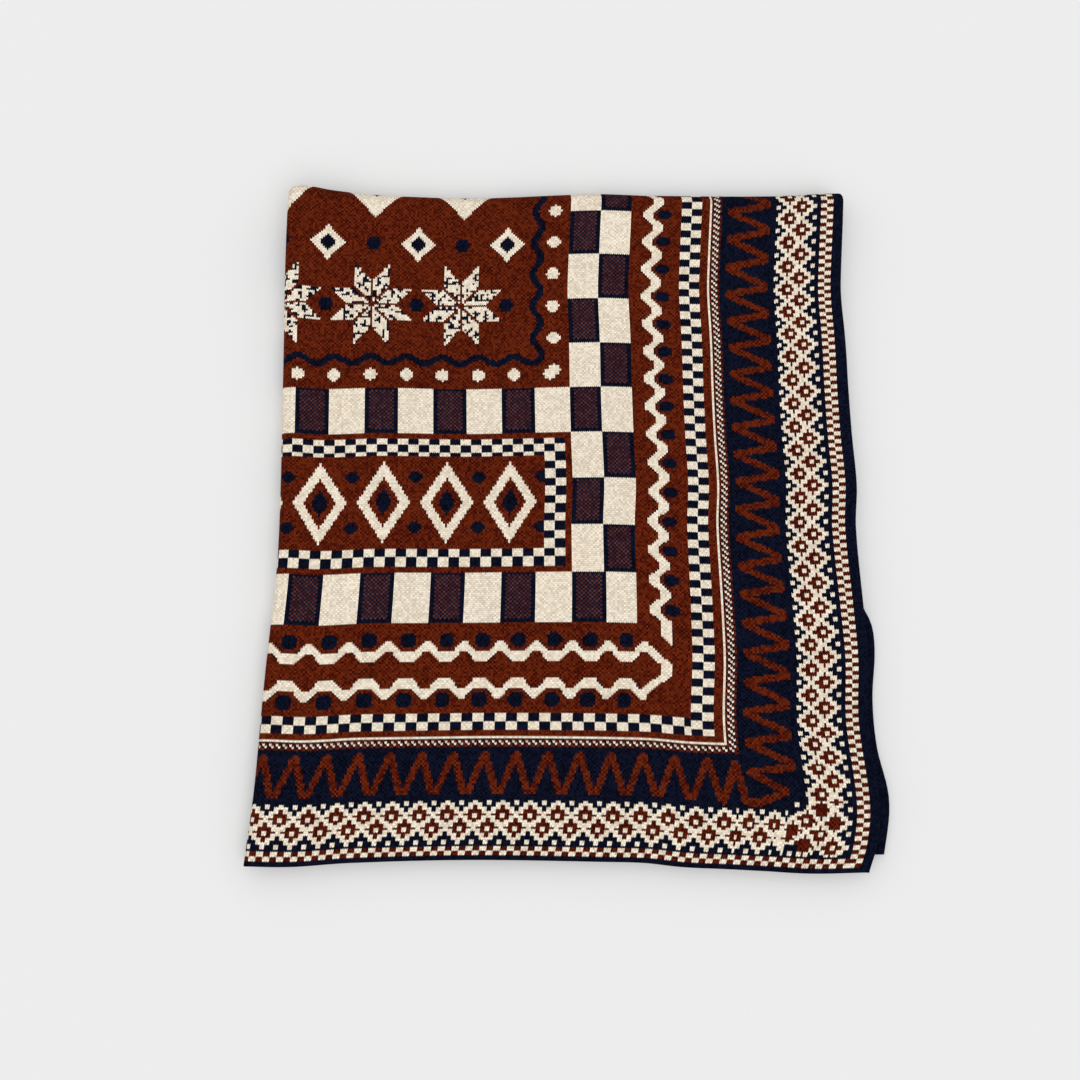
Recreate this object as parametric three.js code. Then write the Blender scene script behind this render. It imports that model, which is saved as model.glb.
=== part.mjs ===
// A knitted blanket, one sheet of cloth folded in half to the left and in half again to the back.
// Millimetres, +Z up. The two folds lie at the left (-X) and at the back (+Y).
// The hems lie at the right (+X) and at the front (-Y).
import * as THREE from "three";

// Cloth
const THICKNESS = 3.0;
const LAYER_GAP = 1.6;
const LAYER_PITCH = THICKNESS + LAYER_GAP;
const HALF = THICKNESS / 2;

// Folds: how far the extra height of a fold runs into the blanket
const LEFT_REACH = 110;
const BACK_REACH = 180;

// Hems of the layers that don't show, against the hem of the layer above
const HIDDEN_UPPER_HEM_INSET = 3;
const BOTTOM_HEM_INSET = 2.5;
const LOWER_FRONT_INSET = 12;

// Grid of the sheet
const FACE_COLUMNS = 16;
const LEFT_FOLD_STEPS = 6;
const FACE_ROWS = 22;
const BACK_FOLD_STEPS = 8;
const COLUMN_GRADING = 1.35;

// Outer line of the left fold, from back to front
const LEFT_LINE = [
  { y: 420, x: -286 },
  { y: 280, x: -286.5 },
  { y: 45, x: -281 },
  { y: -30, x: -281 },
  { y: -150, x: -288 },
  { y: -265, x: -293 },
  { y: -345, x: -300 },
];

// Right hem of the top layer, from back to front
const TOP_HEM = [
  { y: 415, x: 349 },
  { y: 300, x: 340 },
  { y: 250, x: 338 },
  { y: 180, x: 341.5 },
  { y: 62, x: 343.5 },
  { y: 15, x: 339.5 },
  { y: -80, x: 344.5 },
  { y: -130, x: 345.5 },
  { y: -195, x: 341.5 },
  { y: -280, x: 348 },
  { y: -320, x: 342.5 },
  { y: -345, x: 333.5 },
];

// Right hem of the two lower layers, which comes out past the top layer near the front
const LOWER_HEM = [
  { y: 415, x: 343 },
  { y: 0, x: 336 },
  { y: -60, x: 341 },
  { y: -90, x: 350.5 },
  { y: -120, x: 352 },
  { y: -170, x: 346.5 },
  { y: -220, x: 347.5 },
  { y: -264, x: 357.5 },
  { y: -290, x: 356.5 },
  { y: -330, x: 349 },
];

// Front hem of the top layer, from left to right
const FRONT_HEM = [
  { x: -300, y: -340 },
  { x: -240, y: -341 },
  { x: -180, y: -337 },
  { x: -60, y: -334 },
  { x: 80, y: -337 },
  { x: 160, y: -342 },
  { x: 335, y: -344 },
];

// Outer line of the back fold, from left to right
const BACK_LINE = [
  { x: -287, y: 416 },
  { x: -272, y: 418 },
  { x: -240, y: 413.5 },
  { x: -170, y: 410 },
  { x: -80, y: 407 },
  { x: 60, y: 412.5 },
  { x: 120, y: 410.5 },
  { x: 260, y: 409.5 },
  { x: 330, y: 413 },
  { x: 349, y: 413 },
];

// Extra height of the loop in each left fold, fullest at the back corner
const LEFT_RISE = [
  { y: 400, rise: 9.5 },
  { y: 330, rise: 7.5 },
  { y: 200, rise: 4.5 },
  { y: 0, rise: 3.2 },
  { y: -345, rise: 2.2 },
];

// Extra height inside the loop of the back fold
const BACK_RISE = [
  { x: -287, rise: 8.5 },
  { x: -180, rise: 10 },
  { x: 0, rise: 10 },
  { x: 349, rise: 11 },
];

// Smooth step from 0 at the start to 1 at the end
function ease(t) {
  const u = Math.min(Math.max(t, 0), 1);
  return u * u * (3 - 2 * u);
}

// Value of a table column at a place along its key column, on a smooth curve through the rows
function along(table, key, value, at) {
  const rows = [...table].sort((a, b) => a[key] - b[key]);
  const last = rows.length - 1;
  if (at <= rows[0][key]) return rows[0][value];
  if (at >= rows[last][key]) return rows[last][value];
  const i = rows.findIndex((row) => row[key] > at) - 1;
  const slope = (k) => {
    const before = rows[Math.max(k - 1, 0)];
    const after = rows[Math.min(k + 1, last)];
    return (after[value] - before[value]) / (after[key] - before[key]);
  };
  const span = rows[i + 1][key] - rows[i][key];
  const t = (at - rows[i][key]) / span;
  const start = (1 + 2 * t) * (1 - t) * (1 - t) * rows[i][value];
  const leave = t * (1 - t) * (1 - t) * span * slope(i);
  const end = t * t * (3 - 2 * t) * rows[i + 1][value];
  const arrive = t * t * (t - 1) * span * slope(i + 1);
  return start + leave + end + arrive;
}

// Share of a fold's extra height that is left at a distance from the fold
function fallOff(distance, reach) {
  return 1 - ease(distance / reach);
}

// Distance between the two layers of one left fold
function leftSpacing(fromLeft, y) {
  const rise = along(LEFT_RISE, "y", "rise", y);
  return LAYER_PITCH + rise * fallOff(fromLeft, LEFT_REACH);
}

// Distance between the lower and the upper pair of layers
function pairSpacing(x, fromBack) {
  const rise = along(BACK_RISE, "x", "rise", x);
  return LAYER_PITCH + rise * fallOff(fromBack, BACK_REACH);
}

// Rows of the sheet: the lower pair from front to back, round the back fold, the upper pair to the front.
// share is the place between the back fold and the front hem, turn the angle round the back fold.
function sheetRows() {
  const rows = [];
  for (let j = FACE_ROWS; j >= 1; j--) {
    rows.push({ share: j / FACE_ROWS, turn: -Math.PI / 2 });
  }
  for (let j = 0; j <= BACK_FOLD_STEPS; j++) {
    rows.push({ share: 0, turn: Math.PI * (j / BACK_FOLD_STEPS - 0.5) });
  }
  for (let j = 1; j <= FACE_ROWS; j++) {
    rows.push({ share: j / FACE_ROWS, turn: Math.PI / 2 });
  }
  return rows;
}

// Columns of the sheet: the outer layer from its hem to the left fold, round it, the inner layer to its hem.
// turn is the angle round the left fold. Columns lie closer together near the fold.
function sheetColumns() {
  const columns = [];
  const spread = (i) => Math.pow(i / FACE_COLUMNS, COLUMN_GRADING);
  for (let i = FACE_COLUMNS; i >= 1; i--) {
    columns.push({ share: spread(i), turn: Math.PI / 2 });
  }
  for (let i = 0; i <= LEFT_FOLD_STEPS; i++) {
    columns.push({ share: 0, turn: Math.PI * (0.5 - i / LEFT_FOLD_STEPS) });
  }
  for (let i = 1; i <= FACE_COLUMNS; i++) {
    columns.push({ share: spread(i), turn: -Math.PI / 2 });
  }
  return columns;
}

// Right hem of the sheet at a row and column, for the outer or the inner layer of its pair
function hemAt(row, column, y) {
  const outer = column.turn > 0;
  const upperHem = along(TOP_HEM, "y", "x", y) - (outer ? 0 : HIDDEN_UPPER_HEM_INSET);
  const lowerHem = along(LOWER_HEM, "y", "x", y) - (outer ? BOTTOM_HEM_INSET : 0);
  const upperShare = ease(0.5 + row.turn / Math.PI);
  return THREE.MathUtils.lerp(lowerHem, upperHem, upperShare);
}

// Point of the sheet at a row and column. offset is the distance out from the middle of the cloth.
function sheetPoint(row, column, offset) {
  const xLeft0 = along(LEFT_LINE, "y", "x", 0);
  const xRight0 = along(TOP_HEM, "y", "x", 0);
  const xNominal = THREE.MathUtils.lerp(xLeft0, xRight0, column.share);
  const fromLeft = xNominal - xLeft0;

  const backLine = along(BACK_LINE, "x", "y", xNominal);
  const backLeft = leftSpacing(fromLeft, backLine);
  const backPair = pairSpacing(xNominal, 0);
  const backRadius = (backLeft + backPair) / 2;
  const yFold = backLine - backRadius - backLeft / 2 - HALF;
  const lowerSide = row.turn < 0;
  const yFront = along(FRONT_HEM, "x", "y", xNominal) + (lowerSide ? LOWER_FRONT_INSET : 0);
  const y = THREE.MathUtils.lerp(yFold, yFront, row.share);
  const fromBack = yFold - y;

  const spacing = leftSpacing(fromLeft, y);
  const loopRadius = spacing / 2;
  const xFold = along(LEFT_LINE, "y", "x", y) + HALF + leftSpacing(0, y) / 2;
  const xRow = THREE.MathUtils.lerp(xFold, hemAt(row, column, y), column.share);
  const x = xRow - (column.share > 0 ? 0 : (loopRadius + offset) * Math.cos(column.turn));
  const out = (loopRadius + offset) * Math.sin(column.turn);

  const zLower = HALF + spacing / 2;
  const zUpper = zLower + spacing + pairSpacing(xNominal, fromBack);
  const zMiddle = (zLower + zUpper) / 2;
  const radius = (zUpper - zLower) / 2 + out;
  const yOut = row.share > 0 ? 0 : radius * Math.cos(row.turn);
  return new THREE.Vector3(x, y + yOut, zMiddle + radius * Math.sin(row.turn));
}

// One closed sheet: its outer side, its inner side and a rim round the hems
function blanketGeometry() {
  const rows = sheetRows();
  const columns = sheetColumns();
  const points = [];
  for (const offset of [HALF, -HALF]) {
    for (const row of rows) {
      for (const column of columns) {
        points.push(sheetPoint(row, column, offset));
      }
    }
  }
  const across = columns.length;
  const perSide = rows.length * across;
  const outer = (j, i) => j * across + i;
  const inner = (j, i) => perSide + j * across + i;
  const index = [];
  const quad = (a, b, c, d) => index.push(a, c, b, a, d, c);
  for (let j = 0; j + 1 < rows.length; j++) {
    for (let i = 0; i + 1 < across; i++) {
      quad(outer(j, i), outer(j + 1, i), outer(j + 1, i + 1), outer(j, i + 1));
      quad(inner(j, i), inner(j, i + 1), inner(j + 1, i + 1), inner(j + 1, i));
    }
    const last = across - 1;
    quad(outer(j, 0), inner(j, 0), inner(j + 1, 0), outer(j + 1, 0));
    quad(outer(j, last), outer(j + 1, last), inner(j + 1, last), inner(j, last));
  }
  for (let i = 0; i + 1 < across; i++) {
    const last = rows.length - 1;
    quad(outer(0, i), outer(0, i + 1), inner(0, i + 1), inner(0, i));
    quad(outer(last, i), inner(last, i), inner(last, i + 1), outer(last, i + 1));
  }
  const geometry = new THREE.BufferGeometry().setFromPoints(points);
  geometry.setIndex(index);
  return geometry;
}

// Stands the blanket on z = 0 with the middle of its box over the origin
function centreOnFloor(geometry) {
  geometry.computeBoundingBox();
  const box = geometry.boundingBox;
  const middle = box.getCenter(new THREE.Vector3());
  geometry.translate(-middle.x, -middle.y, -box.min.z);
  geometry.computeVertexNormals();
  return geometry;
}

const knit = new THREE.MeshStandardMaterial({ color: 0x5d2615, roughness: 0.95, metalness: 0 });

const blanket = new THREE.Mesh(centreOnFloor(blanketGeometry()), knit);
blanket.name = "blanket";

const folded = new THREE.Group();
folded.add(blanket);

export default folded;
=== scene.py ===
"""The folded blanket's looks: its knitted cloth, its pattern, and a plain studio."""
import math

import bpy
import numpy as np
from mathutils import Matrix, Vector


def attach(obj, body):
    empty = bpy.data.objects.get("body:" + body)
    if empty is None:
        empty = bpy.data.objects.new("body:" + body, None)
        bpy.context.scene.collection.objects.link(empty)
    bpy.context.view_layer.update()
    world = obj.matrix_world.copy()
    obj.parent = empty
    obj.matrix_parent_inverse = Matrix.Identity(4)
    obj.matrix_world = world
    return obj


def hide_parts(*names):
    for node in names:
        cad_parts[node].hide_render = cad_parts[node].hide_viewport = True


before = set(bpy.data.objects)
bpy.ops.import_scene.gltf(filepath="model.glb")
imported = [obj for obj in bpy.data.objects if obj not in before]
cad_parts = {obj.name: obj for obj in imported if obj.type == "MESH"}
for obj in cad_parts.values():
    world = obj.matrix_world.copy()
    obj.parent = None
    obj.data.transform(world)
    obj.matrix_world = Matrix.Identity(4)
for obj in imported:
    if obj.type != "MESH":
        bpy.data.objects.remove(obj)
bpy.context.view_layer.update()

MM = 0.001

# Cloth, in millimetres
THICKNESS = 3.0
LAYER_PITCH = 4.6
HALF = THICKNESS / 2
LEFT_REACH = 110.0
BACK_REACH = 180.0

# Opened blanket, in metres, and its stitches
STITCHES = 550
ROWS = 688

# Stitches that lie in half of the left fold, and rows in half of the back fold
LEFT_FOLD_STITCHES = 4.0
BACK_FOLD_ROWS = 9.0

# Hems of the layers that don't show, against the hem of the layer above
HIDDEN_UPPER_HEM_INSET = 3.0
BOTTOM_HEM_INSET = 2.5
LOWER_FRONT_INSET = 18.0

# Middle of the part's box in the face's own millimetres
FACE_MIDDLE = (29.187, 36.943)

# Outlines on the face, in its own millimetres, as (place, outline) rows
LEFT_LINE = [
    (-345, -300), (-265, -293), (-150, -288), (-30, -281), (45, -281), (280, -286.5), (420, -286),
]
TOP_HEM = [
    (-345, 333.5), (-320, 342.5), (-280, 348), (-195, 341.5), (-130, 345.5), (-80, 344.5),
    (15, 341.5), (62, 345.3), (120, 343.5), (180, 342.8), (215, 343), (245, 342.3), (275, 340.6),
    (300, 340.5), (415, 349),
]
LOWER_HEM = [
    (-330, 351.5), (-290, 359.5), (-264, 360), (-220, 351.5), (-170, 350), (-120, 355.5),
    (-90, 354), (-60, 342), (0, 336), (415, 343),
]
FRONT_HEM = [
    (-300, -340), (-240, -341), (-180, -337), (-60, -334), (80, -336), (117, -337), (155, -341),
    (200, -343), (240, -345), (285, -347.5), (335, -346.5),
]
BACK_LINE = [
    (-287, 416), (-272, 418), (-240, 413.5), (-170, 410), (-80, 407), (60, 412.5),
    (120, 410.5), (260, 409.5), (330, 413), (349, 413),
]
LEFT_RISE = [(-345, 2.2), (0, 3.2), (200, 4.5), (330, 7.5), (400, 9.5)]
BACK_RISE = [(-287, 8.5), (-180, 10), (0, 10), (349, 11)]

# Face of the folded blanket, and the grid of the visible sheet
FACE_WIDTH = 620.0
FACE_LENGTH = 735.0
FACE_COLUMNS = 84
FOLD_COLUMNS = 14
FACE_ROWS = 100
FOLD_ROWS = 22
HEM_ROUND = 1.5
HEM_EDGE = 0.12
HEM_STEPS = [0.0, 0.25, 0.8, 1.6]
GRID_GRADING = 1.15
FLAT_UV = "opened_blanket"

# Soft creases of the top layer, in millimetres and degrees, which fade out at the two folds
CREASES = [
    {"x": 300, "y": -270, "turn": 15, "width": 35, "length": 60, "height": 3.0},
    {"x": 318, "y": -120, "turn": -8, "width": 22, "length": 55, "height": 2.0},
    {"x": 300, "y": 60, "turn": 5, "width": 40, "length": 90, "height": 1.4},
    {"x": 60, "y": -250, "turn": 80, "width": 45, "length": 220, "height": 1.2},
    {"x": -120, "y": -60, "turn": 20, "width": 60, "length": 260, "height": 1.3},
    {"x": 130, "y": 190, "turn": -12, "width": 70, "length": 200, "height": 1.6},
    {"x": -180, "y": 230, "turn": 30, "width": 50, "length": 160, "height": 1.5},
]
BACK_FADE = 6
LEFT_FADE = 8

# Yarns of the chart
NAVY = 0.0
RUST = 1.0
CREAM = 2.0
TWEED = 3.0
DEEP_RUST = 4.0

# Bands from the hem inwards, in stitches from the side hems and in rows from the end hems
BANDS = [
    {"name": "hem", "stitches": 5, "rows": 2},
    {"name": "small check", "stitches": 6, "rows": 4},
    {"name": "lattice", "stitches": 23, "rows": 21},
    {"name": "zigzag", "stitches": 26, "rows": 25},
    {"name": "rope", "stitches": 5, "rows": 4},
    {"name": "cream line", "stitches": 1, "rows": 1},
    {"name": "rust line", "stitches": 4, "rows": 3},
    {"name": "check", "stitches": 10, "rows": 8},
    {"name": "waves", "stitches": 25, "rows": 44},
    {"name": "blocks", "stitches": 30, "rows": 25},
]
SIDE = {}
FRONT = {}
for number, band in enumerate(BANDS):
    SIDE[band["name"]] = sum(row["stitches"] for row in BANDS[:number + 1])
    FRONT[band["name"]] = sum(row["rows"] for row in BANDS[:number + 1])

# Blocks of the checks, in stitches and rows
SMALL_CHECK = (3.0, 2.0)
CREAM_CHECK = (5.0, 4.0)
FRAME_CHECK = (5.0, 4.5)

# Diamond lattice: its repeat, how far inside the small check its outer flowers lie, and its dots
LATTICE = 12.0
SIDE_FLOWERS = 9.0
FRONT_FLOWERS = 8.0
DIAMOND_HALF = 7.1
OUTER_FLOWER = {"reach": 7.1, "petal": 4.5}
INNER_FLOWER = {"reach": 8.1, "petal": 3.5}
DOT_OUTSIDE = -6.5
DOT_INSIDE = 11.5

# Where the lattice's flowers start, the rows left out of them, and their squeeze near the corner
SIDE_FIRST_ROW = 4.5
SIDE_ROWS_OUT = [48.5, 60.5]
FRONT_FIRST_STITCH = 1.5
SQUEEZE_END = 66.0
SQUEEZE = 0.13

# Corner of the lattice, in stitches and rows: its end, its solid flowers, single dots and crosses
CORNER_END = (40.5, 31.5)
CORNER_FIRST_ROW = 10.5
CORNER_ROWS_OUT = [18.5]
CORNER_STEPS = [28.5, 34.5]
SOLID_ROW = 18.0
INNER_FOOT = 9.5
FOURTH_FOOT = 11.5
CORNER_SLOPE = 0.6
CORNER_TOP = 47.7
CORNER_DOTS = [(36.5, 29.5), (37.5, 7.5)]
CORNER_CROSSES = [
    {"middle": (19.5, 31.0), "low": (0.0, 28.5), "high": (23.5, 34.5)},
    {"middle": (39.5, 14.0), "low": (36.5, 0.0), "high": (44.5, 17.5)},
]

# Zigzags: repeat and first place along their band, then foot, height and limits across it
ZIGZAGS = {
    "side": {
        "repeat": 14.18, "first": 4.6, "foot": 34.2, "height": 22.3, "rise": 0.71, "half": 1.75,
        "near": 37.6, "near_pinch": 0.12, "far": 54.5, "far_pinch": 0.2, "low": 35.5, "high": 56.9,
    },
    "front": {
        "repeat": 14.0, "first": 3.75, "foot": 48.8, "height": -21.4, "rise": 0.61, "half": 1.6,
        "near": 31.6, "near_pinch": 0.12, "far": 47.6, "far_pinch": 0.25, "low": 29.5, "high": 49.5,
    },
}

# Line of the zigzag round the corner, in stitches from the side hem and rows from the end hem
ZIGZAG_CORNER = [(68.3, 29.3), (61.8, 46.8), (58.4, 29.8), (53.0, 29.2), (40.9, 35.0), (55.4, 43.2)]
LOOP_HALF = 1.7

# Waves: how far inside the cream check their crests lie, their turns, half width and dots
WAVES = {
    "side": {"near": 10.9, "far": 15.9, "turn": 0.25, "slope": 3.3, "half": 2.4},
    "front": {"near": 9.1, "far": 14.1, "turn": 0.293, "slope": 4.0, "half": 2.2},
}
SIDE_WAVE = {"repeat": 14.87, "first": -0.37, "straight_to": 111.0, "end": 101.5, "end_across": 8.5}
SIDE_DOTS = {"across": 8.1, "half_width": 3.5, "half_height": 2.6, "first": 110.0}
FRONT_WAVE = {"repeat": 16.4, "first": 11.1, "end": 99.5, "wide_from": 196.0, "widening": 0.085}
FRONT_DOTS = {"across": 6.0, "half_width": 3.5, "half_height": 3.4, "first": 104.0}
WAVE_PAIR = 40.9
SIDE_WAVE_FOOT = 104.5
SIDE_WAVE_TIP = (96.5, 100.5)
CLEAR = 9.0
TIP = {"stitch": 88.2, "row": 89.4, "flat": 2.2, "slope": 1.15, "stroke": 5.2, "half": 12.4, "end": 101.5}

# Large blocks, in stitches and rows
BLOCK_PAIR = 33.0
CREAM_BLOCK = 16.6
COLUMN_BLOCK = 15.0
BLOCK_HEIGHT = 24.0
ROW_START = FRONT["blocks"] + 72
FIELD_START = ROW_START + 24

# Lozenge panel: its lozenges, and its frame and inside as low and high (stitch, row) places
LOZENGE = {"repeat": 30.0, "first": 29.0, "row": 35.5, "half_width": 12.5, "half_height": 21.0}
LOZENGE_DOT = {"row": 13.0, "radius": 3.2}
PANEL_FRAME = {"low": (2.5, 2.5), "high": (STITCHES, 68.5)}
PANEL_INSIDE = {"low": (12.5, 11.5), "high": (STITCHES, 59.5)}
PANEL_CHECK_START = 3.0

# Field of stars and diamonds, in stitches and rows from its outer corner
FIELD_MIDDLE = (STITCHES / 2 - SIDE["blocks"], ROWS / 2 - FIELD_START)
FIELD_BORDER = 21.5
BORDER_WAVE = {"repeat": 17.4, "first": 9.0, "middle": 15.0, "swing": 2.0, "half": 1.9}
BORDER_DOT = {"middle": 7.0, "radius": 3.1}
STAR_STEP = 44.0
STAR_ROW = 45.0
STAR_ARM = 11.7
STAR_WAIST = 0.71
FIRST_STAR = STAR_STEP / 2 + 8.0
DIAMOND_ROW = 78.0
SMALL_DIAMOND = (8.5, 4.0)
LARGE_DIAMOND = (17.0, 6.0)
FIELD_DOT = 3.2
ROW_TO_STITCH = 0.93

# How far the bands lie off their even places: along the right hem in stitches, along the front in rows
SIDE_DRIFT = [(0, 0.6), (60, 1.0), (110, 0.3), (200, -0.8), (280, -0.4), (344, 0)]
FRONT_DRIFT = [(0, 0), (200, 0), (240, -0.4), (275, -0.8)]
SIDE_DRIFT_SHARE = {"in": 6, "from": 40, "over": 60}
FRONT_DRIFT_SHARE = {"in": 10, "from": 20, "over": 200}

# How far the rows of the side bands lie off their even places, in rows
LATTICE_STRETCH = [
    (0, 0), (160, 0), (184, -0.7), (208, -0.9), (220, -1.1), (233, -1.6), (245, -2.2),
    (258, -2.8), (282, -2.3), (294, -2.1), (306, -2.7), (319, -4.0), (344, -5.5),
]
ZIGZAG_STRETCH = [(295, 0), (319, -1.9), (334, -2.4), (344, -2.6)]
STRETCH_BLEND = 3


def ease(t):
    """Smooth step from 0 to 1."""
    u = np.clip(t, 0.0, 1.0)
    return u * u * (3 - 2 * u)


def along(table, at):
    """Value of a table at a place, on a smooth curve through its rows."""
    place = np.array([row[0] for row in table], float)
    value = np.array([row[1] for row in table], float)
    last = len(table) - 1
    before = np.maximum(np.arange(last + 1) - 1, 0)
    after = np.minimum(np.arange(last + 1) + 1, last)
    slope = (value[after] - value[before]) / (place[after] - place[before])
    held = np.clip(at, place[0], place[-1])
    i = np.clip(np.searchsorted(place, held, side="right") - 1, 0, last - 1)
    span = place[i + 1] - place[i]
    t = (held - place[i]) / span
    start = (1 + 2 * t) * (1 - t) ** 2 * value[i]
    leave = t * (1 - t) ** 2 * span * slope[i]
    end = t * t * (3 - 2 * t) * value[i + 1]
    arrive = t * t * (t - 1) * span * slope[i + 1]
    return start + leave + end + arrive


def fall_off(distance, reach):
    """Share of a fold's extra height that is left at a distance from the fold."""
    return 1 - ease(distance / reach)


def left_spacing(from_left, y):
    """Distance between the two layers of one left fold."""
    return LAYER_PITCH + along(LEFT_RISE, y) * fall_off(from_left, LEFT_REACH)


def pair_spacing(x, from_back):
    """Distance between the lower and the upper pair of layers."""
    return LAYER_PITCH + along(BACK_RISE, x) * fall_off(from_back, BACK_REACH)


def hem_steps(length):
    """Distances from a hem, in millimetres, at which the rounded hem has its own rows."""
    return [*HEM_STEPS, length / FACE_ROWS]


def grid_line(face_steps, fold_steps, length):
    """Share of the face and turn round the fold for each line of the grid, from hem to hem."""
    near_hem = [1 - step / length for step in hem_steps(length)]
    face = list(np.linspace(near_hem[-1], 0, face_steps)[1:-1] ** GRID_GRADING)
    one_side = near_hem + face
    shares = one_side + [0.0] * (fold_steps + 1) + one_side[::-1]
    ends = [math.pi / 2] * len(one_side)
    turns = ends + list(np.linspace(math.pi / 2, -math.pi / 2, fold_steps + 1)) + [-t for t in ends]
    return np.array(shares), np.array(turns)


def unevenness(x, y):
    """Soft creases of the upper layers, in millimetres, each a ridge along a line."""
    lift = np.zeros(np.broadcast(x, y).shape)
    for ridge in CREASES:
        turn = math.radians(ridge["turn"])
        across = (x - ridge["x"]) * math.cos(turn) + (y - ridge["y"]) * math.sin(turn)
        down = -(x - ridge["x"]) * math.sin(turn) + (y - ridge["y"]) * math.cos(turn)
        shape = np.exp(-(across / ridge["width"]) ** 2 - (down / ridge["length"]) ** 2)
        lift += ridge["height"] * shape
    return lift


def sheet_points(rows, columns, offset):
    """Points of the folded sheet, at a distance out from the middle of the cloth."""
    row_share, row_turn = (v[:, None] for v in rows)
    share, turn = (v[None, :] for v in columns)
    x_left = along(LEFT_LINE, 0.0)
    x_nominal = x_left + (along(TOP_HEM, 0.0) - x_left) * share
    from_left = x_nominal - x_left

    back_line = along(BACK_LINE, x_nominal)
    back_left = left_spacing(from_left, back_line)
    back_radius = (back_left + pair_spacing(x_nominal, 0.0)) / 2
    y_fold = back_line - back_radius - back_left / 2 - HALF
    lower = row_turn < 0
    y_front = along(FRONT_HEM, x_nominal) + np.where(lower, LOWER_FRONT_INSET, 0.0)
    y = y_fold + (y_front - y_fold) * row_share

    outer = turn > 0
    upper_hem = along(TOP_HEM, y) - np.where(outer, 0.0, HIDDEN_UPPER_HEM_INSET)
    lower_hem = along(LOWER_HEM, y) - np.where(outer, BOTTOM_HEM_INSET, 0.0)
    hem = lower_hem + (upper_hem - lower_hem) * ease(0.5 + row_turn / math.pi)
    spacing = left_spacing(from_left, y)
    x_fold = along(LEFT_LINE, y) + HALF + left_spacing(0.0, y) / 2
    loop = spacing / 2 + offset
    x = x_fold + (hem - x_fold) * share - np.where(share > 0, 0.0, loop * np.cos(turn))
    out = loop * np.sin(turn)

    z_lower = HALF + spacing / 2
    z_upper = z_lower + spacing + pair_spacing(x_nominal, y_fold - y)
    upper = np.where(lower, 0.0, ease(row_share * BACK_FADE))
    lift = unevenness(x, y) * upper * np.where(outer, ease(share * LEFT_FADE), 0.0)
    radius = (z_upper - z_lower) / 2 + out
    y = y + np.where(row_share > 0, 0.0, radius * np.cos(row_turn))
    z = (z_lower + z_upper) / 2 + radius * np.sin(row_turn) + lift
    return np.stack([x, y, z], axis=-1)


def drift_share(from_hem, shape):
    """Share of a band's drift that is left at a distance from the hem."""
    return ease(from_hem / shape["in"]) * (1 - ease((from_hem - shape["from"]) / shape["over"]))


def flat_places(rows, columns):
    """Where each grid point lies on the opened blanket, from 0 to 1 across and along."""
    row_share, row_turn = rows
    share, turn = columns
    half_across = STITCHES / 2 - LEFT_FOLD_STITCHES
    across = np.where(
        share > 0,
        STITCHES / 2 - np.sign(turn) * (LEFT_FOLD_STITCHES + half_across * share),
        STITCHES / 2 - LEFT_FOLD_STITCHES * turn / (math.pi / 2),
    )
    half_along = ROWS / 2 - BACK_FOLD_ROWS
    down = np.where(
        row_share > 0,
        ROWS / 2 + np.sign(row_turn) * (BACK_FOLD_ROWS + half_along * row_share),
        ROWS / 2 + BACK_FOLD_ROWS * row_turn / (math.pi / 2),
    )
    across, down = np.meshgrid(across, down)
    from_side = np.minimum(across, STITCHES - across)
    from_end = np.minimum(down, ROWS - down)
    shift_across = along(SIDE_DRIFT, from_end) * drift_share(from_side, SIDE_DRIFT_SHARE)
    shift_down = along(FRONT_DRIFT, from_side) * drift_share(from_end, FRONT_DRIFT_SHARE)
    past_lattice = ease((from_side - SIDE["lattice"] + 1) / STRETCH_BLEND)
    past_zigzag = ease((from_side - SIDE["zigzag"]) / STRETCH_BLEND)
    shift_down += along(LATTICE_STRETCH, from_end) * (1 - past_lattice)
    shift_down += along(ZIGZAG_STRETCH, from_end) * past_lattice * (1 - past_zigzag)
    across = across + shift_across * np.sign(STITCHES / 2 - across)
    down = down + shift_down * np.sign(ROWS / 2 - down)
    return across / STITCHES, down / ROWS


def hem_thickness(shares, length):
    """Share of the cloth's half thickness that is left near a rounded hem."""
    depth = np.clip((1 - shares) * length / HEM_ROUND, 0.0, 1.0)
    return np.maximum(np.sqrt(1 - (1 - depth) ** 2), HEM_EDGE)


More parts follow.
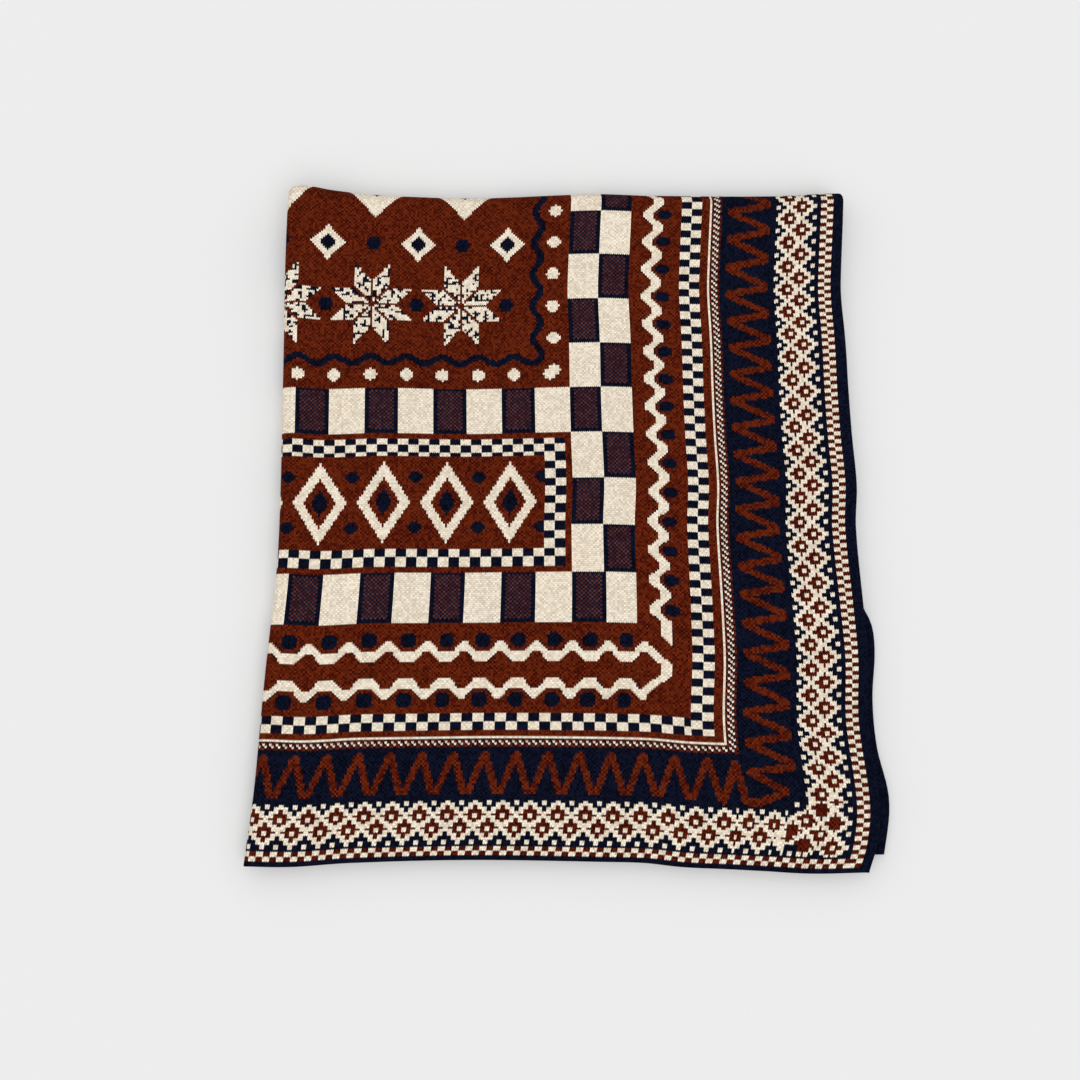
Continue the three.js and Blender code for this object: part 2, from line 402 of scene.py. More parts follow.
def blanket_mesh():
    """The whole sheet as one closed mesh, with its place on the opened blanket as its UV."""
    columns = grid_line(FACE_COLUMNS, FOLD_COLUMNS, FACE_WIDTH)
    row_share, row_turn = grid_line(FACE_ROWS, FOLD_ROWS, FACE_LENGTH)
    rows = (row_share, -row_turn)
    thick_down = hem_thickness(row_share, FACE_LENGTH)[:, None]
    thick_across = hem_thickness(columns[0], FACE_WIDTH)[None, :]
    offset = HALF * np.minimum(thick_down, thick_across)
    sides = [sheet_points(rows, columns, sign * offset) for sign in (1, -1)]
    count_down, count_across = offset.shape
    points = np.concatenate([side.reshape(-1, 3) for side in sides])
    points -= [*FACE_MIDDLE, points[:, 2].min()]

    index = np.arange(count_down * count_across).reshape(count_down, count_across)
    back = index + index.size
    a, b, c, d = index[:-1, :-1], index[:-1, 1:], index[1:, 1:], index[1:, :-1]
    faces = [np.stack([a, b, c, d], -1).reshape(-1, 4)]
    faces.append(np.stack([a, d, c, b], -1).reshape(-1, 4) + index.size)
    for line, other in ((index[0], back[0]), (back[-1], index[-1])):
        faces.append(np.stack([line[:-1], other[:-1], other[1:], line[1:]], -1))
    for line, other in ((back[:, 0], index[:, 0]), (index[:, -1], back[:, -1])):
        faces.append(np.stack([line[:-1], other[:-1], other[1:], line[1:]], -1))
    faces = np.concatenate(faces)

    mesh = bpy.data.meshes.new("knitted_blanket")
    mesh.from_pydata(points * MM, [], faces.tolist())
    across, down = flat_places(rows, columns)
    uv = np.tile(np.stack([across.ravel(), down.ravel()], -1), (2, 1))
    loops = np.empty(len(mesh.loops), int)
    mesh.loops.foreach_get("vertex_index", loops)
    layer = mesh.uv_layers.new(name=FLAT_UV)
    layer.data.foreach_set("uv", uv[loops].ravel())
    side = np.zeros(len(faces), int)
    side[len(a.ravel()):2 * len(a.ravel())] = 1
    mesh.polygons.foreach_set("material_index", side)
    mesh.polygons.foreach_set("use_smooth", np.ones(len(faces), bool))
    mesh.update()
    return mesh


class Value:
    """A number over the cloth, made of math nodes."""

    def __init__(self, tree, socket):
        self.tree = tree
        self.socket = socket

    def math(self, operation, *others):
        node = self.tree.nodes.new("ShaderNodeMath")
        node.operation = operation
        for slot, value in zip(node.inputs, (self, *others)):
            if isinstance(value, Value):
                self.tree.links.new(value.socket, slot)
            else:
                slot.default_value = value
        return Value(self.tree, node.outputs[0])

    def __add__(self, other):
        return self.math("ADD", other)

    def __sub__(self, other):
        return self.math("SUBTRACT", other)

    def __mul__(self, other):
        return self.math("MULTIPLY", other)

    def __truediv__(self, other):
        return self.math("DIVIDE", other)

    def __mod__(self, other):
        return self.math("FLOORED_MODULO", other)

    def __lt__(self, other):
        return self.math("LESS_THAN", other)

    def __gt__(self, other):
        return self.math("GREATER_THAN", other)

    def __and__(self, other):
        return self.math("MULTIPLY", other)

    def __or__(self, other):
        return self.math("MAXIMUM", other)

    def __abs__(self):
        return self.math("ABSOLUTE")

    def taken_from(self, whole):
        return self.math("MULTIPLY_ADD", -1.0, whole)

    def floor(self):
        return self.math("FLOOR")

    def least(self, other):
        return self.math("MINIMUM", other)

    def pick(self, yes, no):
        """yes where this mask is 1, no where it is 0."""
        node = self.tree.nodes.new("ShaderNodeMix")
        node.data_type = "FLOAT"
        for name, value in (("Factor_Float", self), ("A_Float", no), ("B_Float", yes)):
            slot = next(s for s in node.inputs if s.identifier == name)
            if isinstance(value, Value):
                self.tree.links.new(value.socket, slot)
            else:
                slot.default_value = value
        out = next(s for s in node.outputs if s.identifier == "Result_Float")
        return Value(self.tree, out)


def from_middle(value, period):
    """Distance to the nearest middle of a repeat whose first middle is at 0."""
    return abs((value + period / 2) % period - period / 2)


def checks(across, down, width, height):
    """0 and 1 in a chequer of blocks of that size."""
    return ((across / width).floor() + (down / height).floor()) % 2.0


def passed(value, limits):
    """How many of the limits a value has passed."""
    count = value > limits[0]
    for limit in limits[1:]:
        count = count + (value > limit)
    return count


def past(value, limit):
    """How far a value lies past a limit, squared."""
    over = (value - limit).math("MAXIMUM", 0.0)
    return over * over


def short_of(value, limit):
    """How far a value lies short of a limit, squared."""
    under = value.taken_from(limit).math("MAXIMUM", 0.0)
    return under * under


def near(i, j, middle, half_width, half_height):
    """Mask of a small block round a place of the chart."""
    return (abs(i - middle[0]) < half_width) & (abs(j - middle[1]) < half_height)


def within(i, j, low, high):
    """Mask of the stitches between two places of the chart."""
    return (i > low[0]) & (i < high[0]) & (j > low[1]) & (j < high[1])


def dot(across, down, half_width, half_height):
    """Mask of a dot with cut corners."""
    wide = abs(across) / half_width
    high = abs(down) / half_height
    return ((wide | high) < 1.0) & (wide + high < 1.5)


def small_check(i, j):
    """Cream and rust checks beside the hem."""
    side = i < SIDE["small check"] - 0.5
    across = side.pick(i - SIDE["hem"], i - 1.0)
    return checks(across, j - FRONT["hem"], *SMALL_CHECK).pick(CREAM, DEEP_RUST)


def flower(out, beside, shape):
    """Masks of one stepped flower: its cream diamond, its rust petals, their ring and its cream heart."""
    step = ((beside + 1.0) / 2.0).floor() * 2.0
    diamond = abs(out - 0.5) < step.taken_from(shape["reach"]).least(DIAMOND_HALF)
    ring = (abs(out) < 2.5) & (beside < 3.0)
    tips = (beside < 1.0) & (out > -4.5) & (out < shape["petal"])
    line = (abs(out) < 0.5) & (beside < 5.0)
    heart = (abs(out - 0.5) < 1.0) & (beside < 1.0)
    return [diamond, ring | tips | line, ring, heart]


def joined(first, second):
    """The masks of two flowers, part by part."""
    return [one | other for one, other in zip(first, second)]


def kept(masks, where):
    """The masks of a flower inside one more mask."""
    return [mask & where for mask in masks]


def corner_dots(i, j):
    """Mask of the single dots round the corner of the lattice."""
    first, second = (near(i, j, middle, 1.0, 1.0) for middle in CORNER_DOTS)
    return first | second


def flower_place(i, j, corner, side):
    """Distance along the band to the nearest middle of an outer flower."""
    corner_row = j + passed(j, CORNER_ROWS_OUT) - passed(i, CORNER_STEPS) - CORNER_FIRST_ROW
    side_row = j + passed(j, SIDE_ROWS_OUT) - SIDE_FIRST_ROW
    squeezed = i - i.taken_from(SQUEEZE_END).math("MAXIMUM", 0.0) * SQUEEZE
    along_band = side.pick(corner.pick(corner_row, side_row), squeezed - FRONT_FIRST_STITCH)
    return from_middle(along_band, LATTICE)


def lattice_flowers(i, j, corner, out, place):
    """Masks of the lattice's flowers, in two lines, and in four at the corner."""
    staggered = place.taken_from(LATTICE / 2)
    first, second = (within(i, j, cross["low"], cross["high"]) for cross in CORNER_CROSSES)
    uncrossed = (first | second).taken_from(1.0)
    outer = flower(out.taken_from(0.0), place, OUTER_FLOWER)
    outer = outer[:1] + kept(outer[1:], uncrossed)
    low = corner & (j < INNER_FOOT)
    inner = kept(flower(out.taken_from(LATTICE / 2), staggered, INNER_FLOWER), low.taken_from(1.0))
    third = flower(out - LATTICE, place, OUTER_FLOWER)
    fourth = flower(out - LATTICE * 1.5, staggered, INNER_FLOWER)
    above_foot = (i < CORNER_STEPS[1]) | (j > FOURTH_FOOT)
    added = corner & (i * CORNER_SLOPE + j < CORNER_TOP) & above_foot
    return joined(joined(outer, inner), kept(joined(third, fourth), added))


def diamond_lattice(i, j):
    """Staggered lines of rust flowers in cream diamonds, with cream dots in the navy beside them."""
    corner = (i < CORNER_END[0]) & (j < CORNER_END[1])
    mitre = i - SIDE["small check"] < (j - FRONT["small check"])
    side = corner | (mitre & (j > FRONT["lattice"] - 0.5))
    side_out = i - SIDE["small check"] - SIDE_FLOWERS
    front_out = j - FRONT["small check"] - FRONT_FLOWERS
    out = side.pick(side_out, front_out)
    place = flower_place(i, j, corner, side)
    cream, rust, ring, heart = lattice_flowers(i, j, corner, out, place)
    for cross in CORNER_CROSSES:
        rust = rust | near(i, j, cross["middle"], 3.0, 0.6) | near(i, j, cross["middle"], 1.0, 1.6)
    outer_dot = (abs(out - DOT_OUTSIDE) < 1.0) & (place.taken_from(LATTICE / 2) < 1.0)
    inner_dot = (abs(out - DOT_INSIDE) < 1.0) & (place < 1.0)
    ground = (outer_dot | inner_dot | cream | corner_dots(i, j)) * CREAM
    solid = (i < CORNER_STEPS[0]) & (j > SOLID_ROW)
    solid = solid | ((i > CORNER_STEPS[0]) & (j < SOLID_ROW)) | (i > CORNER_STEPS[1])
    solid = corner & solid
    heart = heart & solid.taken_from(1.0)
    motif = heart.pick(CREAM, (rust | (solid & ring)).pick(DEEP_RUST, ground))
    return (j > FRONT["small check"] + 0.5).pick(motif, NAVY)


def zigzag_line(place, height, rise):
    """Distance, in repeats, to a line that goes up over one share of its repeat and down over the rest."""
    up = from_middle(place - height * rise, 1.0)
    down = from_middle(place + height * (1.0 - rise), 1.0)
    return up.least(down)


def zigzag_stroke(along_band, across_band, shape):
    """Mask of the stroke of a zigzag, pinched at its turns."""
    place = (along_band - shape["first"]) / shape["repeat"]
    height = (across_band - shape["foot"]) / shape["height"]
    distance = zigzag_line(place, height, shape["rise"]) * shape["repeat"]
    distance = distance + short_of(across_band, shape["near"]) * shape["near_pinch"]
    distance = distance + past(across_band, shape["far"]) * shape["far_pinch"]
    inside = (across_band > shape["low"]) & (across_band < shape["high"])
    return (distance < shape["half"]) & inside


def segment(i, j, start, end):
    """Squared distance to the line between two places of the chart."""
    run, fall = end[0] - start[0], end[1] - start[1]
    across, down = i - start[0], j - start[1]
    share = (across * run + down * fall) / (run * run + fall * fall)
    share = share.math("MAXIMUM", 0.0).least(1.0)
    across = across - share * run
    down = down - share * fall
    return across * across + down * down


def zigzag(i, j):
    """A steep rust line to and fro across the navy band, with a loop at the corner."""
    side = zigzag_stroke(j, i, ZIGZAGS["side"]) & (j > ZIGZAG_CORNER[-1][1])
    front = zigzag_stroke(i, j, ZIGZAGS["front"]) & (i > ZIGZAG_CORNER[0][0])
    distance = segment(i, j, ZIGZAG_CORNER[0], ZIGZAG_CORNER[1])
    for start, end in zip(ZIGZAG_CORNER[1:], ZIGZAG_CORNER[2:]):
        distance = distance.least(segment(i, j, start, end))
    loop = (distance < LOOP_HALF ** 2) & (i < ZIGZAG_CORNER[0][0] + 0.5)
    return corner_dots(i, j).pick(CREAM, (side | front | loop) * RUST)


def rope(i, j):
    """A fine slanting cord of the three yarns, without cream along its edges."""
    cord = (i - j + 2.0) % 3.0
    inner = (i < SIDE["rope"] - 0.5).pick(i > SIDE["rope"] - 1.5, j > FRONT["rope"] - 1.5)
    edge = inner | (i < SIDE["zigzag"] + 0.5) | (j < FRONT["zigzag"] + 0.5)
    return edge.pick(cord.least(RUST), cord)


def cream_check(i, j):
    """Cream and navy checks."""
    side = i < SIDE["check"] - 0.5
    across = side.pick(i - SIDE["rust line"], i - 3.0)
    down = side.pick(j + 1.0, j - FRONT["rust line"])
    return checks(across, down, *CREAM_CHECK) * CREAM


def wave_stroke(across, place, shape):
    """How many half widths a stitch is off a wave that is flat at its crests and straight between them."""
    crest = ((place - shape["turn"]) * shape["slope"] + 0.5).math("MINIMUM", 1.0).math("MAXIMUM", 0.0)
    return abs(across - crest.pick(shape["near"], shape["far"])) / shape["half"]


def side_wave(i, j):
    """The wave along a side, with its straight slanted end, and the mask of its dots."""
    across = i - SIDE["check"]
    straight = j < SIDE_WAVE["straight_to"]
    place = straight.pick(0.5, from_middle((j - SIDE_WAVE["first"]) / SIDE_WAVE["repeat"], 1.0))
    cut_off = straight & (j - SIDE_WAVE["end"] < across - SIDE_WAVE["end_across"])
    stroke = wave_stroke(across, place, WAVES["side"]) + cut_off * CLEAR
    size = (SIDE_DOTS["half_width"], SIDE_DOTS["half_height"])
    dots = dot(across - SIDE_DOTS["across"], place * SIDE_WAVE["repeat"], *size)
    return stroke, dots & (j > SIDE_DOTS["first"])


def front_waves(i, j):
    """The two mirrored waves along the front, and the mask of their dots."""
    widening = (i - FRONT_WAVE["wide_from"]).math("MAXIMUM", 0.0) * FRONT_WAVE["widening"]
    place = from_middle((i - widening - FRONT_WAVE["first"]) / FRONT_WAVE["repeat"], 1.0)
    from_check = j - FRONT["check"]
    across = from_check.least(from_check.taken_from(WAVE_PAIR))
    stroke = (i > FRONT_WAVE["end"]).pick(wave_stroke(across, place, WAVES["front"]), CLEAR)
    size = (FRONT_DOTS["half_width"], FRONT_DOTS["half_height"])
    dots = dot(across - FRONT_DOTS["across"], place * FRONT_WAVE["repeat"], *size)
    return stroke, dots & (i > FRONT_DOTS["first"])


def wave_tip(i, j):
    """Mask of the point in which the two front waves meet."""
    beside = abs(j - TIP["row"])
    from_tip = i - TIP["stitch"] - (beside - TIP["flat"]).math("MAXIMUM", 0.0) * TIP["slope"]
    return (from_tip > 0.0) & (from_tip < TIP["stroke"]) & (beside < TIP["half"]) & (i < TIP["end"])


def waves(i, j):
    """Cream waves with navy dots in their hollows: one along the sides, two mirrored along the front."""
    side = (j > SIDE_WAVE_FOOT) & (i < SIDE["waves"] - 0.5)
    side = side | ((j > SIDE_WAVE_TIP[1]) & (i < SIDE_WAVE_TIP[0]))
    side_stroke, side_dots = side_wave(i, j)
    front_stroke, front_dots = front_waves(i, j)
    stroke = side.pick(side_stroke, front_stroke)
    cream = (stroke < 1.0) | (wave_tip(i, j) & side.taken_from(1.0))
    floats = (stroke > 1.0) & (stroke < 1.25) & ((i + j) % 2.0)
    dots = side.pick(side_dots, front_dots)
    return (dots | floats).pick(NAVY, cream.pick(CREAM, RUST))


def tweed_block(i, j, x, y, width, height):
    """A navy frame round single rust stitches."""
    frame_line = (x < 1.9) | (x > width - 2.1) | (y < 1.4) | (y > height - 1.6)
    return frame_line.pick(NAVY, (i + j) % 2.0 * TWEED)


def block_row(i, j, first, height):
    """One row of large blocks, cream and tweed by turns."""
    x = (i - SIDE["blocks"]) % BLOCK_PAIR
    tweed_x = x - CREAM_BLOCK
    tweed = tweed_block(i, j, tweed_x, j - first, BLOCK_PAIR - CREAM_BLOCK, height)
    return (tweed_x < 0.0).pick(CREAM, tweed)


def block_columns(i, j):
    """Two columns of large blocks, cream and tweed by turns."""
    x = i - SIDE["waves"]
    y = j - FRONT["blocks"]
    cream = checks(x, y, COLUMN_BLOCK, BLOCK_HEIGHT)
    tweed = tweed_block(i, j, x % COLUMN_BLOCK, y % BLOCK_HEIGHT, COLUMN_BLOCK, BLOCK_HEIGHT)
    return cream.pick(CREAM, tweed)


def lozenge_panel(i, j):
    """A row of stepped lozenges with dots between them, in a frame of checks."""
    x = i - SIDE["blocks"]
    y = j - FRONT["blocks"]
    check = checks(x - PANEL_CHECK_START, y - PANEL_CHECK_START, *FRAME_CHECK) * CREAM
    across = from_middle(x - LOZENGE["first"], LOZENGE["repeat"])
    down = abs(y - LOZENGE["row"])
    far = across / LOZENGE["half_width"] + down / LOZENGE["half_height"]
    ring = (far > 0.62) & (far < 1.0)
    motif = ring.pick(CREAM, (far < 0.34).pick(NAVY, RUST))
    dot_x = (across - LOZENGE["repeat"] / 2) / LOZENGE_DOT["radius"]
    dot_y = (down - LOZENGE_DOT["row"]) / LOZENGE_DOT["radius"]
    motif = (dot_x * dot_x + dot_y * dot_y < 1.0).pick(NAVY, motif)
    framed = within(x, y, PANEL_FRAME["low"], PANEL_FRAME["high"]).pick(check, RUST)
    return within(x, y, PANEL_INSIDE["low"], PANEL_INSIDE["high"]).pick(motif, framed)


def field_border(across, along_band):
    """Cream dots and a navy wave on rust."""
    place = from_middle(along_band - BORDER_WAVE["first"], BORDER_WAVE["repeat"])
    swing = (place * (2 * math.pi / BORDER_WAVE["repeat"])).math("COSINE") * BORDER_WAVE["swing"]
    wave = abs(across - (swing + BORDER_WAVE["middle"])) < BORDER_WAVE["half"]
    dot_across = (across - BORDER_DOT["middle"]) / BORDER_DOT["radius"]
    dot_along = place / BORDER_DOT["radius"]
    dots = dot_across * dot_across + dot_along * dot_along < 1.0
    return dots.pick(CREAM, wave.pick(NAVY, RUST))


def star_field(i, j, speckle):
    """Eight-pointed stars and diamonds on rust, in a border of dots and a navy wave."""
    x = i - SIDE["blocks"]
    y = j - FIELD_START
    from_edge = x.least(y)
    along_band = (x < y).pick(y, x)
    border = field_border(from_edge, along_band)

    dx = from_middle(x - FIELD_MIDDLE[0], STAR_STEP)
    between = dx.taken_from(STAR_STEP / 2)
    dy = abs(y - STAR_ROW) * ROW_TO_STITCH
    long_way = dx | dy
    short_way = dx.least(dy)
    lean = long_way - short_way
    petal = (lean > 0.8) & (lean < STAR_ARM) & (short_way > 0.4) & (short_way < STAR_ARM * STAR_WAIST)
    petal = petal & (x > FIRST_STAR)
    motif = petal.pick(speckle.pick(NAVY, CREAM), RUST)
    motif = dot(between, dy, FIELD_DOT, FIELD_DOT).pick(NAVY, motif)

    small_y = abs(y - DIAMOND_ROW) * ROW_TO_STITCH
    small_diamond = between + small_y
    motif = (small_diamond < SMALL_DIAMOND[0]).pick(CREAM, motif)
    motif = (small_diamond < SMALL_DIAMOND[1]).pick(NAVY, motif)
    motif = dot(dx, small_y, FIELD_DOT, FIELD_DOT).pick(NAVY, motif)

    large_y = abs(y - FIELD_MIDDLE[1]) * ROW_TO_STITCH
    large_diamond = dx + large_y
    motif = (large_diamond < LARGE_DIAMOND[0]).pick(CREAM, motif)
    motif = (large_diamond < LARGE_DIAMOND[1]).pick(RUST, motif)
    motif = dot(between, large_y, FIELD_DOT, FIELD_DOT).pick(NAVY, motif)
    return (from_edge > FIELD_BORDER).pick(motif, border)


def past_band(i, j, side_name, front_name):
    """Mask of the stitches further in than a side band and a front band."""
    return (i > SIDE[side_name] - 0.5) & (j > FRONT[front_name] - 0.5)


def knit_chart(i, j, speckle):
    """Yarn of the stitch that lies i stitches from the side hem and j rows from the end hem."""
    colour = NAVY
    rings = [
        ("hem", small_check),
        ("small check", diamond_lattice),
        ("lattice", zigzag),
        ("zigzag", rope),
        ("rope", lambda i, j: CREAM),
        ("cream line", lambda i, j: RUST),
        ("rust line", cream_check),
        ("check", waves),
    ]
    for name, pattern in rings:
        colour = past_band(i, j, name, name).pick(pattern(i, j), colour)
    front_blocks = block_row(i, j, FRONT["waves"], FRONT["blocks"] - FRONT["waves"])
    colour = past_band(i, j, "waves", "waves").pick(front_blocks, colour)
    colour = past_band(i, j, "waves", "blocks").pick(block_columns(i, j), colour)
    colour = past_band(i, j, "blocks", "blocks").pick(lozenge_panel(i, j), colour)
    middle_blocks = block_row(i, j, ROW_START, FIELD_START - ROW_START)
    in_middle_row = (i > SIDE["blocks"] - 0.5) & (j > ROW_START - 0.5) & (j < FIELD_START - 0.5)
    colour = in_middle_row.pick(middle_blocks, colour)
    in_field = (i > SIDE["blocks"] - 0.5) & (j > FIELD_START - 0.5)
    return in_field.pick(star_field(i, j, speckle), colour)


# Yarn colours, each from its darkest to its lightest stitch
YARNS = {
    "navy": ((0.0006, 0.0008, 0.0034), (0.0050, 0.0076, 0.0230)),
    "rust": ((0.0320, 0.0014, 0.0008), (0.1560, 0.0213, 0.0043)),
    "cream": ((0.6400, 0.5350, 0.4100), (0.9600, 0.8700, 0.7200)),
    "tweed": ((0.0480, 0.0120, 0.0120), (0.1250, 0.0420, 0.0370)),
    "deep rust": ((0.0240, 0.0008, 0.0006), (0.1180, 0.0140, 0.0036)),
}
STITCH_SLANT = 0.6
STITCH_RELIEF = 0.0007
# Painted shade in the gaps between stitches: the colour is scaled by STITCH_SHADOW plus STITCH_LIGHT times
# the stitch relief
STITCH_SHADOW = 0.54
STITCH_LIGHT = 0.62
RELIEF_STRENGTH = 0.7
YARN_ROUGHNESS = 0.95
YARN_GLOSS = 0.03

# Lightness of the stitches: single ones, patches of them, and every second one
SINGLE_SHADE = 0.85
PATCH_SHADE = 0.4
PATCH_SCALE = 0.05
BIRDSEYE_SHADE = 0.4
SHADE_START = -0.325

# Speckles of the stars
SPECKLE_SCALE = 0.42
SPECKLE_LIMIT = 0.56


def mixed(tree, factor, first, second):
    """A colour between two colours, each a constant or a socket."""
    node = tree.nodes.new("ShaderNodeMix")
    node.data_type = "RGBA"
    for name, value in (("Factor_Float", factor), ("A_Color", first), ("B_Color", second)):
        slot = next(s for s in node.inputs if s.identifier == name)
        if isinstance(value, Value):
            tree.links.new(value.socket, slot)
        elif isinstance(value, bpy.types.NodeSocket):
            tree.links.new(value, slot)
        elif isinstance(value, tuple):
            slot.default_value = (*value, 1.0)
        else:
            slot.default_value = value
    return next(s for s in node.outputs if s.identifier == "Result_Color")


def noise_value(tree, vector, scale, detail):
    """Smooth noise over the cloth, from 0 to 1."""
    node = tree.nodes.new("ShaderNodeTexNoise")
    node.inputs["Scale"].default_value = scale
    node.inputs["Detail"].default_value = detail
    tree.links.new(vector, node.inputs["Vector"])
    return Value(tree, node.outputs[0])


class Stitches:
    """The cloth's stitches in a material: which one a point is in, and where in it."""

    def __init__(self, tree):
        uv = tree.nodes.new("ShaderNodeUVMap")
        uv.uv_map = FLAT_UV
        split = tree.nodes.new("ShaderNodeSeparateXYZ")
        tree.links.new(uv.outputs["UV"], split.inputs[0])
        across = Value(tree, split.outputs["X"]) * STITCHES
        down = Value(tree, split.outputs["Y"]) * ROWS
        from_spine = abs(across % 1.0 - 0.5) * 2.0
        slanted = down + from_spine * STITCH_SLANT
        self.column = across.floor()
        self.row = slanted.floor()
        self.from_side = self.column.least(self.column.taken_from(STITCHES - 1.0))
        self.from_end = self.row.least(self.row.taken_from(ROWS - 1.0))
        leg = from_spine * 2.0 - 1.0
        along_leg = (slanted % 1.0) * 2.0 - 1.0
        leg_round = (leg * leg).taken_from(1.0)
        row_round = (along_leg * along_leg).taken_from(1.0)
        self.relief = leg_round * (row_round * 0.55 + 0.45)
        join = tree.nodes.new("ShaderNodeCombineXYZ")
        tree.links.new(self.column.socket, join.inputs["X"])
        tree.links.new(self.row.socket, join.inputs["Y"])
        self.cell = join.outputs[0]


def yarn_colour(tree, yarn, shade):
    """Colour of the stitch's yarn, with the shade of the single stitch."""
    colour = mixed(tree, shade, *YARNS["navy"])
    for number, name in ((0.5, "rust"), (1.5, "cream"), (2.5, "tweed"), (3.5, "deep rust")):
        colour = mixed(tree, yarn > number, colour, mixed(tree, shade, *YARNS[name]))
    return colour


def cloth_shader(tree, stitches, colour):
    """Soft matte yarn with the relief of its stitches, and painted shade that darkens its colour in the
    gaps between them.
    """
    # Painted shade: the yarn's colour is darkened where the stitch relief is low, in the gaps between
    # stitches, on top of the bump's own shading
    shadow = stitches.relief * STITCH_LIGHT + STITCH_SHADOW
    lit = tree.nodes.new("ShaderNodeVectorMath")
    lit.operation = "SCALE"
    tree.links.new(colour, lit.inputs[0])
    tree.links.new(shadow.socket, lit.inputs["Scale"])
    bump = tree.nodes.new("ShaderNodeBump")
    bump.inputs["Strength"].default_value = RELIEF_STRENGTH
    bump.inputs["Distance"].default_value = STITCH_RELIEF
    tree.links.new(stitches.relief.socket, bump.inputs["Height"])
    shader = tree.nodes.new("ShaderNodeBsdfPrincipled")
    shader.inputs["Roughness"].default_value = YARN_ROUGHNESS
    shader.inputs["Specular IOR Level"].default_value = YARN_GLOSS
    tree.links.new(lit.outputs[0], shader.inputs["Base Color"])
    tree.links.new(bump.outputs[0], shader.inputs["Normal"])
    output = tree.nodes.new("ShaderNodeOutputMaterial")
    tree.links.new(shader.outputs[0], output.inputs["Surface"])


def stitch_shade(tree, stitches):
    """Lightness of each single stitch, from 0 to 1."""
    single = tree.nodes.new("ShaderNodeTexWhiteNoise")
    single.noise_dimensions = "2D"
    tree.links.new(stitches.cell, single.inputs["Vector"])
    patch = noise_value(tree, stitches.cell, PATCH_SCALE, 2.0)
    birdseye = (stitches.column + stitches.row) % 2.0
    shade = Value(tree, single.outputs["Value"]) * SINGLE_SHADE + patch * PATCH_SHADE
    return shade + (birdseye * BIRDSEYE_SHADE + SHADE_START)


def knit_material():
    """The face of the cloth, with its pattern."""
    material = bpy.data.materials.new("knit")
    material.use_nodes = True
    tree = material.node_tree
    tree.nodes.clear()
    stitches = Stitches(tree)
    speckle = noise_value(tree, stitches.cell, SPECKLE_SCALE, 0.0) > SPECKLE_LIMIT
    yarn = knit_chart(stitches.from_side, stitches.from_end, speckle)
    colour = yarn_colour(tree, yarn, stitch_shade(tree, stitches))
    cloth_shader(tree, stitches, colour)
    return material


def reverse_material():
    """The back of the cloth, where the carried yarns make a fine tweed."""
    material = bpy.data.materials.new("knit_reverse")
    material.use_nodes = True
    tree = material.node_tree
    tree.nodes.clear()
    stitches = Stitches(tree)
    yarn = (stitches.column + stitches.row) % 2.0
    colour = yarn_colour(tree, yarn, stitch_shade(tree, stitches))
    cloth_shader(tree, stitches, colour)
    return material


def add_blanket():
    """The blanket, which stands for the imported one."""
    blanket = bpy.data.objects.new("knitted_blanket", blanket_mesh())
    bpy.context.scene.collection.objects.link(blanket)
    blanket.data.materials.append(knit_material())
    blanket.data.materials.append(reverse_material())
    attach(blanket, "root")
    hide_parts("blanket")
    return blanket


# Studio
FLOOR_HALF = 6.0
FLOOR_DROP = 0.0003
FLOOR_TONE = 0.66
SKY_STRENGTH = 0.94
KEY_STRENGTH = 1.43
KEY_TURN = (38.0, 12.0, 0.0)
KEY_SPREAD = 50.0


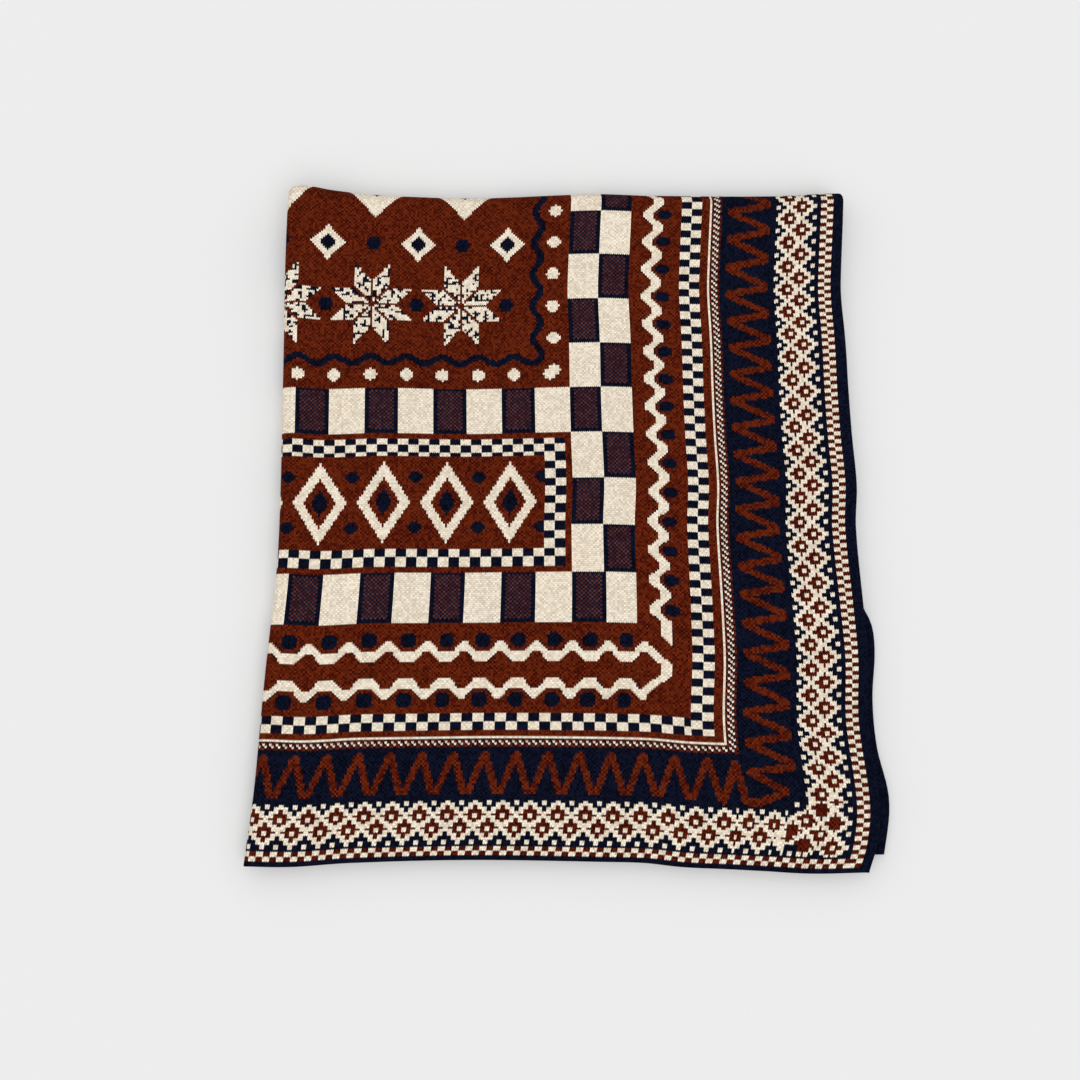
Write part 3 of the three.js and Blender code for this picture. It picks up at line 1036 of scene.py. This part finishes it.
def floor_material():
    """A pale matte floor, which doesn't hide the blanket from below."""
    material = bpy.data.materials.new("pale_floor")
    material.use_nodes = True
    tree = material.node_tree
    tree.nodes.clear()
    matte = tree.nodes.new("ShaderNodeBsdfDiffuse")
    matte.inputs["Color"].default_value = (FLOOR_TONE, FLOOR_TONE, FLOOR_TONE, 1.0)
    clear = tree.nodes.new("ShaderNodeBsdfTransparent")
    side = tree.nodes.new("ShaderNodeNewGeometry")
    blend = tree.nodes.new("ShaderNodeMixShader")
    output = tree.nodes.new("ShaderNodeOutputMaterial")
    tree.links.new(side.outputs["Backfacing"], blend.inputs[0])
    tree.links.new(matte.outputs[0], blend.inputs[1])
    tree.links.new(clear.outputs[0], blend.inputs[2])
    tree.links.new(blend.outputs[0], output.inputs["Surface"])
    return material


def add_floor():
    """A wide plain floor just under the blanket."""
    corners = [(-1, -1), (1, -1), (1, 1), (-1, 1)]
    points = [(x * FLOOR_HALF, y * FLOOR_HALF, -FLOOR_DROP) for x, y in corners]
    mesh = bpy.data.meshes.new("floor")
    mesh.from_pydata(points, [], [(0, 1, 2, 3)])
    floor = bpy.data.objects.new("floor", mesh)
    floor.data.materials.append(floor_material())
    bpy.context.scene.collection.objects.link(floor)


def add_lights():
    """An even white sky and one broad soft light."""
    world = bpy.data.worlds.new("studio")
    world.use_nodes = True
    background = world.node_tree.nodes["Background"]
    background.inputs["Color"].default_value = (1.0, 1.0, 1.0, 1.0)
    background.inputs["Strength"].default_value = SKY_STRENGTH
    bpy.context.scene.world = world
    key = bpy.data.lights.new("key", "SUN")
    key.energy = KEY_STRENGTH
    key.angle = math.radians(KEY_SPREAD)
    lamp = bpy.data.objects.new("key", key)
    lamp.rotation_euler = [math.radians(turn) for turn in KEY_TURN]
    bpy.context.scene.collection.objects.link(lamp)


# Camera, from the photograph's perspective
CAMERA_ELEVATION = 75.632
CAMERA_DISTANCE = 1.39757
CAMERA_LENS = 43.333
CAMERA_AIM = (-0.0288, -0.0369, 0.018)


def add_camera():
    """The camera, at the photograph's place."""
    data = bpy.data.cameras.new("camera")
    data.lens = CAMERA_LENS
    data.sensor_width = 36.0
    camera = bpy.data.objects.new("camera", data)
    angle = math.radians(CAMERA_ELEVATION)
    away = Vector((0.0, -math.cos(angle), math.sin(angle)))
    camera.location = Vector(CAMERA_AIM) + away * CAMERA_DISTANCE
    camera.rotation_euler = (math.pi / 2 - angle, 0.0, 0.0)
    bpy.context.scene.collection.objects.link(camera)
    bpy.context.scene.camera = camera


add_camera()
add_blanket()
add_floor()
add_lights()
bpy.context.scene.view_settings.view_transform = "Standard"
